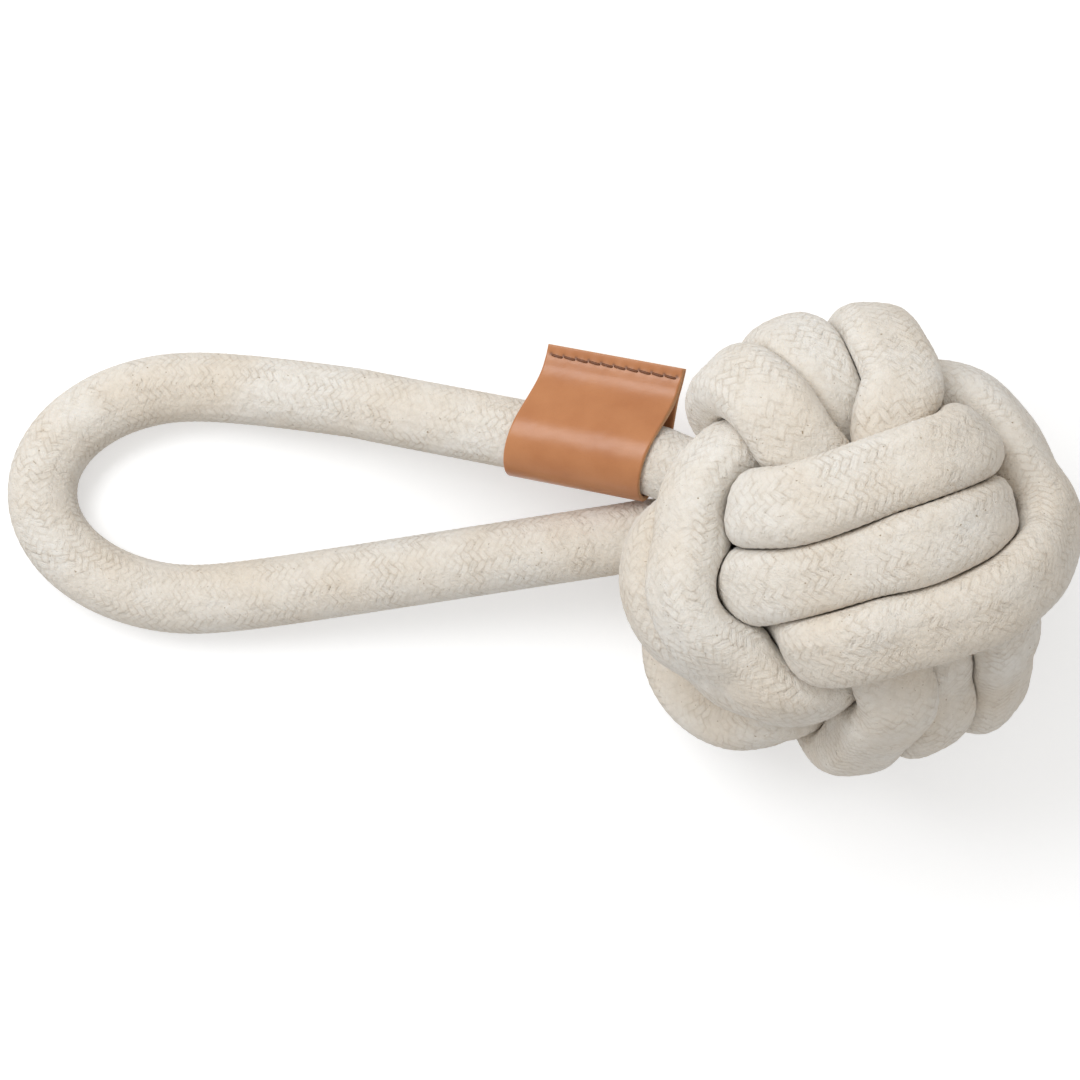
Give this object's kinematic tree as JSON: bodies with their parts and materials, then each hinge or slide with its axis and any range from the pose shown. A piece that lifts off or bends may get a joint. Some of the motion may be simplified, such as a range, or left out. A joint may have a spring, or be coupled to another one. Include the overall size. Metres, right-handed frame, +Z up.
{
  "type": "rope dog toy",
  "caption": "Tug and fetch toy for dogs: a big ball knotted from thick cotton rope, with a rope loop as handle and a folded, stitched leather tab round one leg of the loop.",
  "frame": {"origin": "on the floor under the middle of the toy's box; the toy lies on the floor as pictured from above", "axes": "+X from the loop's bend to the ball, along the toy's length; +Z up; +Y to the side that the leather tab's stitched flap points to"},
  "size_m": [0.2932, 0.1252, 0.1207],
  "materials": {
    "cotton_rope": "matte",
    "core": "matte",
    "tan_leather": "satin",
    "waxed_thread": "matte"
  },
  "bodies": {
    "fist": {"fist_rope": "cotton_rope", "core_ball": "core"},
    "handle": {"handle_rope": "cotton_rope"},
    "tab": {"leather_tab": "tan_leather", "needle_thread": "waxed_thread", "bobbin_thread": "waxed_thread"}
  },
  "joints": [
    {"name": "handle_bend", "type": "hinge", "parent": "fist", "child": "handle", "pos_m": [0.03779, 0.01246, 0.035], "axis": [0, 1, 0], "range_deg": [-25, 38]},
    {"name": "tab_slide", "type": "slide", "parent": "handle", "child": "tab", "axis": [-0.9416, 0.1883, -0.2792], "range_m": [0, 0.03]}
  ]
}
